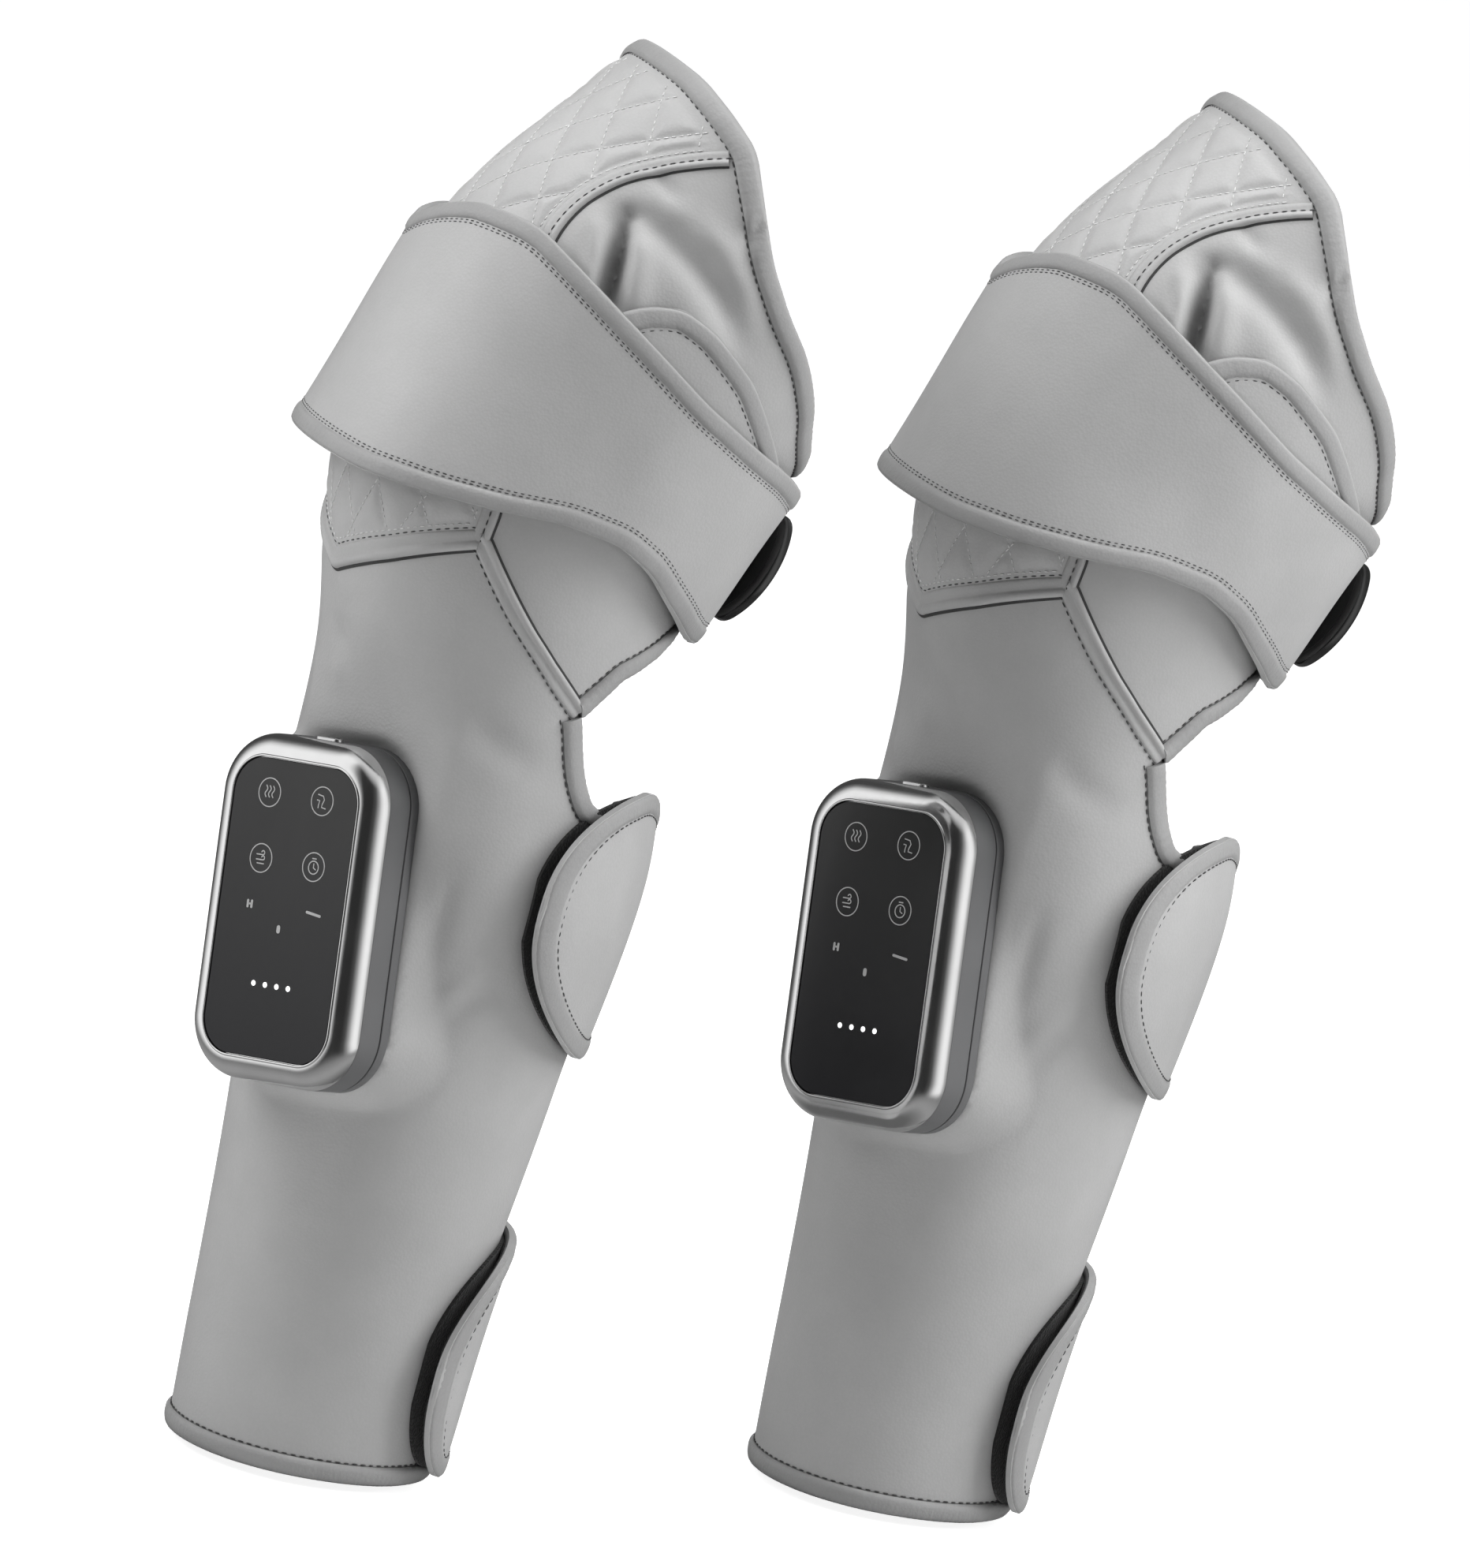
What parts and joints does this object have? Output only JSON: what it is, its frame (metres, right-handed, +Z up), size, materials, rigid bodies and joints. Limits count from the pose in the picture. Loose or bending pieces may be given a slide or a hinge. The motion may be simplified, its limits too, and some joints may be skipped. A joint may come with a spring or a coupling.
{
  "type": "leg massager",
  "caption": "Padded knee and calf massage sleeves for both legs, each with hook-and-loop calf straps, a knee band with a pull ring and a glass-faced controller on the shin.",
  "frame": {"origin": "centre line of the left unit at its ankle hem", "axes": "+Z up the calf, -X the way the shins face, -Y towards the left unit's outer side"},
  "size_m": [0.4522, 0.1767, 0.5478],
  "materials": {
    "leather": "soft satin, fine grain",
    "quilted_leather": "soft satin, stitched quilting",
    "edging": "satin folded binding",
    "lining_cloth": "matte knitted cloth",
    "chamber_film": "clear welded film",
    "foam": "open foam",
    "pad_cloth": "matte heater cloth",
    "ring_plastic": "glossy moulded plastic",
    "housing_plastic": "fine satin texture",
    "bezel_metal": "satin chrome",
    "touch_glass": "smooth dark printed glass",
    "button_metal": "satin",
    "socket_steel": "plated",
    "circuit_board": "solder mask",
    "cell_wrap": "shrink wrap",
    "pump_steel": "plain",
    "hose_rubber": "soft tube",
    "screw_steel": "plated"
  },
  "bodies": {
    "root": {"left_calf_shell": "leather", "left_knee_panel": "quilted_leather", "left_side_panels": "leather", "left_calf_lining": "lining_cloth", "left_thigh_lining": "lining_cloth", "left_air_chambers": "chamber_film", "left_thigh_foam": "foam", "left_knee_heating_pad": "pad_cloth", "left_hem_binding": "edging", "left_rim_binding": "edging", "left_notch_binding": "edging", "left_piping": "edging", "left_calf_strap_roots": "leather", "left_thigh_strap": "leather", "left_knee_band": "leather", "left_rear_housing": "housing_plastic", "left_bezel_frame": "bezel_metal", "left_glass_panel": "touch_glass", "left_charge_socket": "socket_steel", "left_control_board": "circuit_board", "left_battery_pack": "cell_wrap", "left_air_pump": "pump_steel", "left_air_hoses": "hose_rubber", "left_mounting_plate": "housing_plastic", "left_housing_screws": "screw_steel", "right_calf_shell": "leather", "right_knee_panel": "quilted_leather", "right_side_panels": "leather", "right_calf_lining": "lining_cloth", "right_thigh_lining": "lining_cloth", "right_air_chambers": "chamber_film", "right_thigh_foam": "foam", "right_knee_heating_pad": "pad_cloth", "right_hem_binding": "edging", "right_rim_binding": "edging", "right_notch_binding": "edging", "right_piping": "edging", "right_calf_strap_roots": "leather", "right_thigh_strap": "leather", "right_knee_band": "leather", "right_rear_housing": "housing_plastic", "right_bezel_frame": "bezel_metal", "right_glass_panel": "touch_glass", "right_charge_socket": "socket_steel", "right_control_board": "circuit_board", "right_battery_pack": "cell_wrap", "right_air_pump": "pump_steel", "right_air_hoses": "hose_rubber", "right_mounting_plate": "housing_plastic", "right_housing_screws": "screw_steel"},
    "left_power_button": {"left_power_button": "button_metal"},
    "left_upper_calf_strap": {"left_upper_calf_strap": "leather"},
    "left_lower_calf_strap": {"left_lower_calf_strap": "leather"},
    "left_knee_band_end": {"left_knee_band_end": "leather"},
    "left_knee_ring": {"left_knee_ring": "ring_plastic"},
    "right_power_button": {"right_power_button": "button_metal"},
    "right_upper_calf_strap": {"right_upper_calf_strap": "leather"},
    "right_lower_calf_strap": {"right_lower_calf_strap": "leather"},
    "right_knee_band_end": {"right_knee_band_end": "leather"},
    "right_knee_ring": {"right_knee_ring": "ring_plastic"}
  },
  "joints": [
    {"name": "left_power_button_press", "type": "slide", "parent": "root", "child": "left_power_button", "axis": [-0.0077, -0.2012, -0.9795], "range_m": [0, 0.0008], "stiffness_N_per_m": 1200},
    {"name": "left_upper_calf_strap_peel", "type": "hinge", "parent": "root", "child": "left_upper_calf_strap", "pos_m": [0.07479, 0.02411, 0.2401], "axis": [0, 0, 1], "range_deg": [0, 90]},
    {"name": "left_lower_calf_strap_peel", "type": "hinge", "parent": "root", "child": "left_lower_calf_strap", "pos_m": [0.05615, 0.01975, 0.094], "axis": [0, 0, 1], "range_deg": [0, 105]},
    {"name": "left_knee_band_end_peel", "type": "hinge", "parent": "root", "child": "left_knee_band_end", "pos_m": [0.08181, -0.03719, 0.36134], "axis": [-0.4136, 0.0502, -0.9091], "range_deg": [0, 80]},
    {"name": "left_knee_ring_swing", "type": "hinge", "parent": "left_knee_band_end", "child": "left_knee_ring", "pos_m": [0.09707, 0.00277, 0.35483], "axis": [0.426, 0.0038, 0.9047], "range_deg": [0, 145]},
    {"name": "right_power_button_press", "type": "slide", "parent": "root", "child": "right_power_button", "axis": [-0.0077, -0.2012, -0.9795], "range_m": [0, 0.0008], "stiffness_N_per_m": 1200},
    {"name": "right_upper_calf_strap_peel", "type": "hinge", "parent": "root", "child": "right_upper_calf_strap", "pos_m": [0.32879, 0.04811, 0.2401], "axis": [0, 0, 1], "range_deg": [0, 90]},
    {"name": "right_lower_calf_strap_peel", "type": "hinge", "parent": "root", "child": "right_lower_calf_strap", "pos_m": [0.31015, 0.04375, 0.094], "axis": [0, 0, 1], "range_deg": [0, 105]},
    {"name": "right_knee_band_end_peel", "type": "hinge", "parent": "root", "child": "right_knee_band_end", "pos_m": [0.33581, -0.01319, 0.36134], "axis": [-0.4136, 0.0502, -0.9091], "range_deg": [0, 80]},
    {"name": "right_knee_ring_swing", "type": "hinge", "parent": "right_knee_band_end", "child": "right_knee_ring", "pos_m": [0.35107, 0.02677, 0.35483], "axis": [0.426, 0.0038, 0.9047], "range_deg": [0, 145]}
  ]
}
